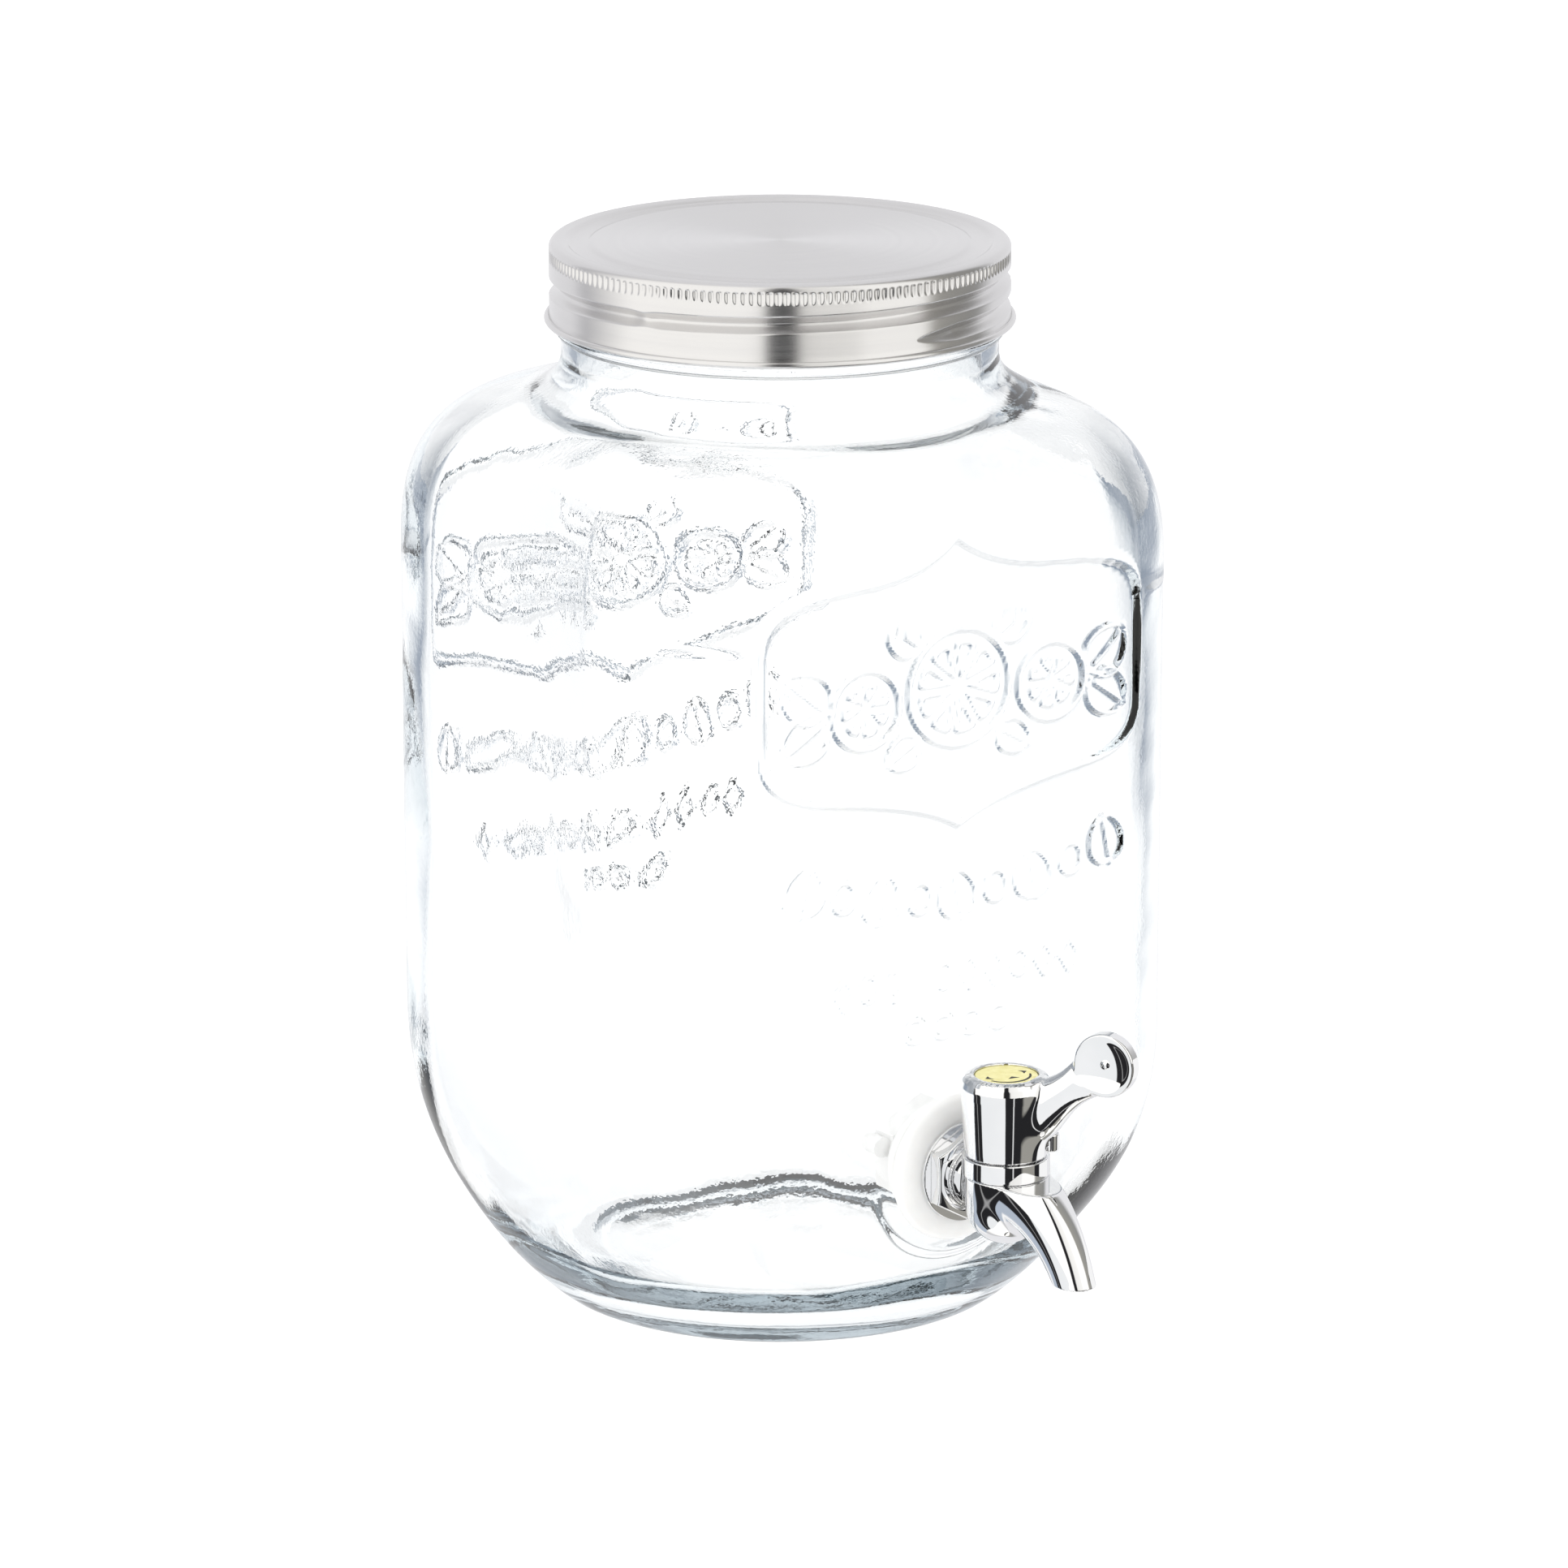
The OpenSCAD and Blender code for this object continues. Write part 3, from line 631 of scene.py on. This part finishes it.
# ---------------------------------------------------------------- lid
def lid_mesh():
    flutes = 176
    n = flutes * 8
    az = np.linspace(-180, 180, n, endpoint=False)
    a = np.radians(az)
    rows = []

    def groove(z):
        g = np.zeros(n)
        for k in (-2, -1, 0, 1):
            b = az + 360 * k
            zc = THREAD_Z + LEAD * (b - FRONT_AZ) / 360
            fade = np.clip((b + 447) / 14, 0, 1) * np.clip((-10 - b) / 14, 0, 1)
            fade = fade * (1 - 0.3 * np.exp(-((b + 157.7) / 3.0) ** 2))
            w = 2.2 * np.sqrt(np.clip(fade, 0.02, 1))
            t = np.clip(np.abs(z - zc) / w, 0, 1)
            g = np.maximum(g, fade * 2.15 * (0.5 + 0.5 * np.cos(np.pi * t)) ** 0.75)
            # metal pushed out just below the groove
            g = g - 0.32 * fade * np.exp(-((z - zc + 2.7) / 0.8) ** 2)
        return g

    def ring(r, z):
        r = np.broadcast_to(r, (n,))
        rows.append(np.stack([r * np.cos(a), r * np.sin(a), np.broadcast_to(z, (n,))], -1))

    # top, from the centre: panel, step, raised rim
    for r, z in ((0.02, 249.72), (8, 249.72), (20, 249.71), (32, 249.7), (41, 249.7),
                 (42.9, 249.7), (43.5, 249.62), (43.9, 249.42), (44.3, 249.22), (44.9, 249.12),
                 (46.2, 249.1), (47.6, 249.12), (48.2, 249.2), (48.6, 249.42), (48.95, 249.72),
                 (49.4, 249.92), (50.0, 250.0), (51.0, 250.0)):
        ring(r, z)
    for t in np.linspace(0, math.pi / 2, 9)[1:]:
        ring(51.6 + 1.6 * math.sin(t), 248.5 + 1.5 * math.cos(t))
    p = (az + 180) / 360 * flutes
    dent = np.abs((p + 0.5) % 1 - 0.5) * (2 * math.pi * LID_R / flutes)
    for z in np.arange(248.2, 233.75, -0.22):
        t = np.clip(1 - ((z - 247.4) / 1.75) ** 2, 0, 1)
        flute = 0.42 * np.exp(-(dent / (0.16 + 0.34 * np.sqrt(t))) ** 2) * np.sqrt(t)
        ring(LID_R - flute - groove(z), z)
    # flare to the rolled bead
    zb = LID_LOW + LID_BEAD
    for t in np.linspace(0, 1, 6):
        ring(LID_R + 0.25 * t * t, 233.7 - 1.2 * t)
    for t in np.linspace(0.42, -1.0, 17) * math.pi:
        ring(LID_R + 0.4 + LID_BEAD * math.cos(t), zb + LID_BEAD * math.sin(t))
    # inside
    for z in np.arange(233.0, 248.6, 0.45):
        ring(LID_R - 0.6 - groove(z) * 0.95, z)
    for r, z in ((52.1, 249.1), (50.8, 249.4), (49.6, 249.35), (48.4, 248.6), (46.0, 248.5),
                 (44.4, 248.6), (43.2, 249.1), (30, 249.15), (0.02, 249.15)):
        ring(r, z)
    v = np.concatenate(rows)
    R = len(rows)
    i, j = np.meshgrid(np.arange(R - 1), np.arange(n), indexing="ij")
    q = np.stack([i * n + j, (i + 1) * n + j,
                  (i + 1) * n + (j + 1) % n, i * n + (j + 1) % n], -1)
    ob = make("lid_pressing", v, q.reshape(-1, 4).tolist(), lid_steel)
    bm = bmesh.new()
    bm.from_mesh(ob.data)
    middle = [x for x in bm.verts if x.co.x ** 2 + x.co.y ** 2 < 1e-8]
    bmesh.ops.remove_doubles(bm, verts=middle, dist=0.0002)
    bmesh.ops.recalc_face_normals(bm, faces=bm.faces)
    for f in bm.faces:
        f.smooth = True
    bm.to_mesh(ob.data)
    bm.free()
    return ob


# ---------------------------------------------------------------- tap
SPOUT_TIP, SPOUT_FALL, SPOUT_BEND = (123.7, 32.2), 64.0, 29.7
SPOUT_R, BORE_R, SPOUT_CUT = 4.8, 3.4, 32.4
ARC_D = SPOUT_TIP[0] - SPOUT_BEND * math.sin(math.radians(SPOUT_FALL))
ARC_Z = SPOUT_TIP[1] - SPOUT_BEND * math.cos(math.radians(SPOUT_FALL))


def spout_field(x, d, z, radius, start=0.0):
    """Distance to a tube along the spout's bend, straight beyond its tip."""
    ang = np.degrees(np.arctan2(d - ARC_D, z - ARC_Z))
    ang = np.where(ang < -120, 180, ang)
    c = np.clip(ang, start, SPOUT_FALL)
    cd, cz = ARC_D + SPOUT_BEND * np.sin(np.radians(c)), ARC_Z + SPOUT_BEND * np.cos(np.radians(c))
    td, tz = math.cos(math.radians(SPOUT_FALL)), -math.sin(math.radians(SPOUT_FALL))
    run = np.clip((d - SPOUT_TIP[0]) * td + (z - SPOUT_TIP[1]) * tz, 0, 6) * (ang > SPOUT_FALL)
    s = (c - start) / (SPOUT_FALL - start)
    return length(x, d - cd - run * td, z - cz - run * tz) - radius(s)


def tap_body_field(x, y, z):
    d = -y
    r = length(x, d - BARREL)
    barrel = rod(r, z, 9.2, 43.8, 51.0)
    bulb = length(x, d - BARREL, z - 43.8) - 9.2
    f = smin(np.minimum(barrel, bulb),
             spout_field(x, d, z, lambda s: SPOUT_R + (9.0 - SPOUT_R) * (1 - s) ** 1.35), 2.6)
    f = smax(f, z - 51.0, 0.4)
    neck = rod(length(x, z - TAP_Z), d, 7.2, 82.0, 92.0)
    f = smin(f, neck, 1.6)
    f = np.maximum(f, -rod(r, z, 10.1, 51.0, 60.0))
    f = np.minimum(f, rod(length(x, z - TAP_Z), d, 7.6, 56.0, 84.0, 0.4))
    f = np.minimum(f, rod(r, z, 8.6, 50.0, 55.5, 0.2))
    f = np.minimum(f, rod(r, z, 7.9, 50.0, 66.0, 0.2))
    f = smax(f, -spout_field(x, d, z, lambda s: BORE_R + 0 * s, 20.0), 0.3)
    f = smax(f, -rod(length(x, z - TAP_Z), d, 3.6, 50.0, 84.0), 0.3)
    f = smax(f, -rod(r, z, 7.0, 60.0, 70.0), 0.3)
    return smax(f, SPOUT_CUT - z, 0.3)


LEVER = math.radians(38.0)
LEVER_TURN = math.radians(30.0)
DISC_OUT, DISC_Z, DISC_R = 24.9, 80.4, 7.4
REACH = DISC_OUT / math.cos(LEVER)
LEVER_H = (4, 8, 11, 14, 17, 19.5, 22, 25, 27.5, 30)
LEVER_TALL = (7.4, 7.1, 6.7, 5.8, 4.9, 4.4, 4.35, 4.8, 5.3, 5.4)
LEVER_THICK = (6.2, 5.7, 5.1, 4.4, 3.8, 3.3, 2.8, 2.2, 1.8, 1.5)
CAP = [(0, 55.9), (9.25, 55.9), (9.35, 57.0), (10.25, 70.0), (10.25, 71.8), (9.9, 73.2),
       (9.2, 74.1), (8.3, 74.5), (7.55, 74.5), (7.3, 74.25), (7.25, 73.75), (0, 73.75)]


def smooth_table(h, hs, vs):
    """Lookup through the points, averaged over a short reach so that it has no kinks."""
    base = np.interp(h, hs, vs)
    return (np.interp(h - 1.8, hs, vs) + np.interp(h + 1.8, hs, vs) + np.interp(h - 0.9, hs, vs)
            + np.interp(h + 0.9, hs, vs) + base) / 5


def handle_field(x, y, z):
    d = -y
    r = length(x, d - BARREL)
    cap = polygon_field(r, z, CAP) - 0.12
    c, n = math.cos(LEVER_TURN), math.sin(LEVER_TURN)
    along, side = x * n + (d - BARREL) * c, x * c - (d - BARREL) * n
    ca, sa = math.cos(LEVER), math.sin(LEVER)
    h = (along - DISC_OUT) * ca + (z - DISC_Z) * sa + REACH
    v = -(along - DISC_OUT) * sa + (z - DISC_Z) * ca
    tall, thick = smooth_table(h, LEVER_H, LEVER_TALL), smooth_table(h, LEVER_H, LEVER_THICK)
    shaft = np.maximum((length(side / thick, v / tall) - 1) * thick * 0.9, np.abs(h - 15.8) - 11.0)
    rho = length(along - DISC_OUT, z - DISC_Z)
    disc = rod(rho, side, DISC_R, -1.8, 1.8, 0.6)
    lever = smin(shaft, disc, 0.7)
    # both faces dished, with a small boss in the middle
    dish = length(rho, np.abs(side) - 1.8 - 14.9) - 16.2
    lever = smax(lever, -dish, 0.35)
    lever = smin(lever, length(rho, np.abs(side) / 0.8 - 0.6) - 0.75, 0.8)
    f = smin(cap, np.maximum(lever, z - 96), 1.5)
    # keep the top rim and the recess clean
    f = np.maximum(f, -rod(r, z, 7.3, 73.75, 90.0))
    f = np.maximum(f, -rod(r, z, 8.3, 40.0, 66.6))
    # stop tab on the cap's skirt
    az = math.radians(-32.3)
    tab = length(x - 10.1 * math.cos(az), y + BARREL - 10.1 * math.sin(az))
    return np.minimum(f, rod(tab, z, 2.0, 56.4, 60.6, 0.5))


def collar_field(x, y, z):
    r = length(x, y + BARREL)
    f = rod(r, z, 10.0, 51.05, 55.5, 0.25)
    f = np.maximum(f, 8.64 - r)
    c, n = math.cos(math.radians(75)), math.sin(math.radians(75))
    out, side = x * c + (y + BARREL) * n, -x * n + (y + BARREL) * c
    f = np.minimum(f, rod(length(out - 11.0, side), z, 1.0, 54.45, 60.05, 0.3))
    lug = np.maximum(np.maximum(np.abs(out - 10.1) - 0.9, np.abs(side) - 0.8),
                     np.abs(z - 54.9) - 0.45)
    return smin(f, lug, 0.3)


def hex_field(x, y, z):
    d, w = -y, z - TAP_Z
    c, s = math.cos(math.radians(30)), math.sin(math.radians(30))
    flats = np.maximum(np.abs(x), np.maximum(np.abs(x * s + w * c), np.abs(x * s - w * c)))
    flats = flats - 10.0
    r = length(x, w)
    f = smax(flats, np.abs(d - 82) - 2.0, 0.35)
    f = smax(f, ((r - 9.6) * 0.45 + (d - 84)) * 0.9, 0.4)
    return smax(f, 7.7 - r, 0.3)


def flange_field(x, y, z):
    r = length(x, z - TAP_Z)
    return np.maximum(rod(r, -y, 11.9, 79.0, 80.0, 0.35), 7.7 - r)


def tap_pieces():
    s = 0.38
    plan = (
        ("tap_casting", tap_body_field, (-11, -133, 25), (11, -54, 68), s, "jar", "tap_body"),
        ("lever_handle", handle_field, (-13, -128, 54), (22, -84, 91), s, "tap_handle", "handle"),
        ("collar", collar_field, (-11.5, -107, 50.5), (13, -83, 60.8), s * 0.8, "jar", "collar_ring"),
        ("clamp_hex", hex_field, (-12.5, -85, 34), (12.5, -79.5, 60), s * 0.7, "jar", "hex_nut"),
        ("clamp_flange", flange_field, (-12.6, -80.6, 34), (12.6, -78.5, 60), s * 0.6, "jar",
         "front_flange"),
    )
    made = [(net(name, field, low, high, step, chrome), body, node)
            for name, field, low, high, step, body, node in plan]
    for ob, body, node in made:
        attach(ob, body)
        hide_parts(node)


def seals():
    g = soft([(8.1, 0.05), (17.3, 0.05), (17.4, 1.2), (16.7, 2.5), (14.6, 3.6), (12.4, 3.95),
              (8.1, 3.95)], 3)
    outer = lathe("front_seal", g, silicone, 160, lambda v: on_tap(v, HALF))
    flat = soft([(7.9, 0), (15, 0), (15, 3.75), (7.9, 3.75)], 3)
    inner = lathe("inside_seal", flat, silicone, 128, lambda v: on_tap(v, HALF - WALL - 3.8))
    for ob, node in ((outer, "outer_gasket"), (inner, "inner_gasket")):
        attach(ob, "jar")
        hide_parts(node)


def label_marks():
    """Plain turning arrows printed on the cap's disc."""
    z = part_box("indicator_disc")[1].z / MM + 0.03
    verts, faces = [], []

    def poly(points):
        base = len(verts)
        verts.extend((x, -BARREL + y, z) for x, y in points)
        faces.append(tuple(range(base, base + len(points))))

    for sx in (-1, 1):
        poly([(sx * 5.6, 0.2), (sx * 4.1, 1.5), (sx * 4.4, 0.3), (sx * 4.1, -1.1)][::sx])
        for k in range(10):
            a0, a1 = (math.radians(198 + 142 * t) for t in (k / 10, (k + 1) / 10))
            if sx > 0:
                w0, w1 = (0.42 + 0.28 * math.sin(math.pi * t) for t in (k / 10, (k + 1) / 10))
                poly([(5.7 * math.cos(a0), 5.7 * math.sin(a0)), (5.7 * math.cos(a1), 5.7 * math.sin(a1)),
                      ((5.7 - w1) * math.cos(a1), (5.7 - w1) * math.sin(a1)),
                      ((5.7 - w0) * math.cos(a0), (5.7 - w0) * math.sin(a0))])
    poly([(-1.2, -2.6), (1.6, -2.9), (0.4, -1.5)])
    ob = make("label_arrows", verts, faces, label_ink, smooth=False)
    solid = ob.modifiers.new("thickness", "SOLIDIFY")
    solid.thickness = 0.00006
    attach(ob, "tap_handle")


# ---------------------------------------------------------------- build
jar = outward(jar_mesh())
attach(jar, "jar")
jar.visible_shadow = jar.visible_diffuse = False
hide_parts("glass_jar")
lid = lid_mesh()
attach(lid, "lid")
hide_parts("lid_shell")
tap_pieces()
seals()
label_marks()

CARRIED = {
    "lid_liner": white_plastic, "slip_washer": white_plastic, "wing_nut": white_plastic,
    "retaining_clip": bright_steel, "valve_plug": grey_plastic, "upper_o_ring": black_rubber,
    "lower_o_ring": black_rubber, "thrust_washer": white_plastic, "handle_screw": bright_steel,
    "screw_washer": bright_steel, "indicator_disc": label,
}
for node, mat in CARRIED.items():
    NODES[node].data.materials.clear()
    NODES[node].data.materials.append(mat)
edge = NODES["wing_nut"].modifiers.new("softened", "BEVEL")
edge.width, edge.segments, edge.limit_method = 0.0005, 3, "ANGLE"

# ---------------------------------------------------------------- stage, light and camera
CAM_AZ = math.radians(-32.3)
LANE_HALF, LANE_SPREAD, LANE_SOFT = 0.17, 0.12, 0.30


def emitter(name, build):
    m = bpy.data.materials.new(name)
    m.use_nodes = True
    t = m.node_tree
    t.nodes.clear()
    out = t.nodes.new("ShaderNodeOutputMaterial")
    em = t.nodes.new("ShaderNodeEmission")
    t.links.new(em.outputs[0], out.inputs[0])
    build(t, em)
    m.cycles.emission_sampling = "NONE"
    return m


def azimuth_ramp(t, em, stops, centre=(0.0, 0.0), tall=None):
    """Emission by the direction round a point, in degrees from FRONT_AZ."""
    tc = t.nodes.new("ShaderNodeTexCoord")
    mp = t.nodes.new("ShaderNodeVectorMath")
    mp.operation = "SUBTRACT"
    mp.inputs[1].default_value = (*centre, 0)
    t.links.new(tc.outputs["Object"], mp.inputs[0])
    sep = t.nodes.new("ShaderNodeSeparateXYZ")
    t.links.new(mp.outputs[0], sep.inputs[0])

    def calc(op, a, b=None, c=None):
        n = t.nodes.new("ShaderNodeMath")
        n.operation = op
        for i, x in enumerate((a, b, c)):
            if x is None:
                continue
            if isinstance(x, (int, float)):
                n.inputs[i].default_value = x
            else:
                t.links.new(x, n.inputs[i])
        return n.outputs[0]

    ang = calc("ARCTAN2", sep.outputs[1], sep.outputs[0])
    ang = calc("SUBTRACT", ang, math.radians(FRONT_AZ))
    ang = calc("WRAP", ang, math.pi, -math.pi)
    fac = calc("ADD", calc("DIVIDE", ang, 2 * math.pi), 0.5)
    ramp = t.nodes.new("ShaderNodeValToRGB")
    e = ramp.color_ramp.elements
    while len(e) < len(stops):
        e.new(0.5)
    for i, (deg, col) in enumerate(stops):
        e[i].position = deg / 360 + 0.5
        e[i].color = (*col, 1)
    t.links.new(fac, ramp.inputs["Fac"])
    em.inputs["Strength"].default_value = 1.0
    if tall is None:
        t.links.new(ramp.outputs[0], em.inputs["Color"])
    else:
        # fades to a plain tone above a height
        low, high, col = tall
        f = t.nodes.new("ShaderNodeMapRange")
        f.interpolation_type = "SMOOTHSTEP"
        f.inputs["From Min"].default_value = low
        f.inputs["From Max"].default_value = high
        t.links.new(sep.outputs[2], f.inputs["Value"])
        mix = t.nodes.new("ShaderNodeMixRGB")
        t.links.new(f.outputs[0], mix.inputs[0])
        t.links.new(ramp.outputs[0], mix.inputs[1])
        mix.inputs[2].default_value = (*col, 1)
        t.links.new(mix.outputs[0], em.inputs["Color"])


def stage_mesh(name, verts, faces):
    me = bpy.data.meshes.new(name)
    me.from_pydata(verts, [], faces)
    ob = bpy.data.objects.new(name, me)
    bpy.context.scene.collection.objects.link(ob)
    return ob


def stage_floor(name, z):
    return stage_mesh(name, [(-6, -6, z), (6, -6, z), (6, 6, z), (-6, 6, z)], [(0, 1, 2, 3)])


def round_wall(name, radius, angles, around=64):
    """Part of a sphere about the origin, with a row of points at each angle above the floor."""
    verts = [(radius * math.cos(e) * math.cos(b), radius * math.cos(e) * math.sin(b),
              radius * math.sin(e))
             for e in angles for b in [2 * math.pi * j / around for j in range(around)]]
    faces = [(i * around + j, i * around + (j + 1) % around,
              (i + 1) * around + (j + 1) % around, (i + 1) * around + j)
             for i in range(len(angles) - 1) for j in range(around)]
    return stage_mesh(name, verts, faces)


def glossy_only(ob):
    ob.visible_camera = ob.visible_diffuse = ob.visible_transmission = False
    ob.visible_shadow = ob.visible_volume_scatter = False


def stage():
    white, black, grey = (1.0, 1.0, 1.0), (0.02, 0.02, 0.022), (0.34, 0.33, 0.30)
    blue = (0.47, 0.53, 0.62)
    floor = stage_floor("floor", 0)
    m = Nodes("pale_floor")
    m.put(Base_Color=(0.93, 0.93, 0.93, 1), Roughness=0.9, Specular_IOR_Level=0.0)
    floor.data.materials.append(m.mat)
    floor.visible_glossy = floor.visible_transmission = False
    # the same floor as it is seen through the glass, with painted shade: its colour stays pale along a lane
    # running out on the camera's side and is painted blue-grey and darker beside it
    lane = stage_floor("floor_through_glass", 0.00005)
    m = Nodes("lane_floor_painted_shade")
    m.put(Roughness=0.9, Specular_IOR_Level=0.0)
    sep = m.add("ShaderNodeSeparateXYZ")
    m.link(m.coords(), sep.inputs[0])
    c, n = math.cos(CAM_AZ), math.sin(CAM_AZ)
    x, y, _ = sep.outputs
    across = m.math("ADD", m.math("MULTIPLY", x, c), m.math("MULTIPLY", y, n))
    along = m.math("ADD", m.math("MULTIPLY", x, -n), m.math("MULTIPLY", y, c))
    half = m.math("MULTIPLY", m.math("MAXIMUM", along, 0.0), LANE_SPREAD)
    half = m.math("ADD", half, LANE_HALF)
    over = m.math("DIVIDE", m.math("SUBTRACT", m.math("ABSOLUTE", across), half), LANE_SOFT)
    # painted shade: the floor colour goes from pale to darker blue-grey away from the lane
    m.link(m.ramp(over, [(0.0, (0.93, 0.93, 0.93)), (0.35, (0.60, 0.63, 0.66)), (1.0, (0.22, 0.26, 0.32))]),
           m.bsdf.inputs["Base Color"])
    lane.data.materials.append(m.mat)
    lane.visible_camera = lane.visible_diffuse = lane.visible_glossy = lane.visible_shadow = False
    # studio walls and ceiling as they are seen through the glass
    walls = round_wall("studio_through_glass", 5.0, [math.pi / 2 * i / 16 for i in range(17)])
    pale, side = (1.05, 1.05, 1.05), (0.26, 0.29, 0.33)
    wall_stops = [(-180, pale), (-165, pale), (-140, side), (-60, side), (-35, pale),
                  (35, pale), (60, side), (140, side), (165, pale), (179.9, pale)]
    above = (1.3, 3.4, (0.42, 0.44, 0.47))
    walls.data.materials.append(emitter(
        "walls_tone", lambda t, em: azimuth_ramp(t, em, wall_stops, tall=above)))
    walls.visible_camera = walls.visible_diffuse = walls.visible_glossy = False
    walls.visible_shadow = walls.visible_volume_scatter = False
    # what the shiny pieces mirror: a round studio wall and dome, seen in reflections only
    dome = round_wall("studio_dome", 3.0, [math.pi * (i / 32 - 0.5) for i in range(33)])
    hi, mid = (1.18, 1.17, 1.14), (0.86, 0.86, 0.88)
    dome_stops = [(-180, mid), (-125, mid), (-112, (0.55, 0.55, 0.57)), (-80, hi), (-8.5, hi),
                  (-5.5, black), (7, black), (11, (0.95, 0.94, 0.91)), (40, (1.05, 1.04, 1.01)),
                  (42, hi), (76, hi), (82, (0.36, 0.35, 0.32)), (115, (0.30, 0.30, 0.29)),
                  (130, mid), (179.9, mid)]
    dome.data.materials.append(emitter(
        "studio_light", lambda t, em: azimuth_ramp(t, em, dome_stops)))
    glossy_only(dome)
    # low flags near the tap
    verts, R, low, high = [], 0.24, -0.35, 0.085
    for j in range(181):
        b = math.radians(FRONT_AZ - 135 + 270 * j / 180)
        for z in (low, high):
            verts.append((R * math.cos(b), -BARREL * MM + R * math.sin(b), z))
    faces = [(2 * j, 2 * j + 2, 2 * j + 3, 2 * j + 1) for j in range(180)]
    flags = stage_mesh("low_flags", verts, faces)
    line = (0.45, 0.45, 0.45)
    pale_line = (0.8, 0.8, 0.8)
    flag_stops = [(-180, white), (-128, white), (-118, blue), (-93, blue), (-92, black),
                  (-81, black), (-80, line), (-79, black), (-68, black),
                  (-67.5, (0.9, 0.92, 0.93)), (-4, (0.95, 0.96, 0.97)), (-3.5, black),
                  (16, black), (16.6, pale_line), (19, pale_line), (19.6, black), (38, black),
                  (44, grey), (77, grey), (78.5, black), (94, black), (96, white),
                  (179.9, white)]
    flags.data.materials.append(emitter(
        "flag_tones", lambda t, em: azimuth_ramp(t, em, flag_stops, (0.0, -BARREL * MM))))
    glossy_only(flags)
    # even white surroundings for everything else
    world = bpy.data.worlds.new("studio")
    bpy.context.scene.world = world
    world.use_nodes = True
    bg = world.node_tree.nodes["Background"]
    bg.inputs["Color"].default_value = (1.0, 1.0, 1.0, 1)
    bg.inputs["Strength"].default_value = 1.28
    lamp = bpy.data.lights.new("softbox", "AREA")
    lamp.shape, lamp.size, lamp.size_y, lamp.energy = "RECTANGLE", 1.6, 1.2, 3.0
    ob = bpy.data.objects.new("softbox", lamp)
    ob.location = (-0.9, 0.5, 1.6)
    ob.rotation_euler = (math.radians(-20), math.radians(-28), 0)
    ob.visible_glossy = False
    bpy.context.scene.collection.objects.link(ob)


stage()
cam_data = bpy.data.cameras.new("camera")
cam_data.lens, cam_data.sensor_width = 178.9, 36.0
cam_data.shift_x, cam_data.shift_y = 0.0025, -0.0021
cam_data.clip_start, cam_data.clip_end = 0.05, 50
cam = bpy.data.objects.new("camera", cam_data)
cam.location = (-0.9394, -1.4860, 0.6115)
cam.rotation_euler = (math.radians(74.4), 0, math.radians(-32.3))
bpy.context.scene.collection.objects.link(cam)
scene = bpy.context.scene
scene.camera = cam
scene.view_settings.view_transform = "Standard"
scene.cycles.max_bounces = 40
scene.cycles.transmission_bounces = 32
scene.cycles.glossy_bounces = 16
scene.cycles.diffuse_bounces = 4
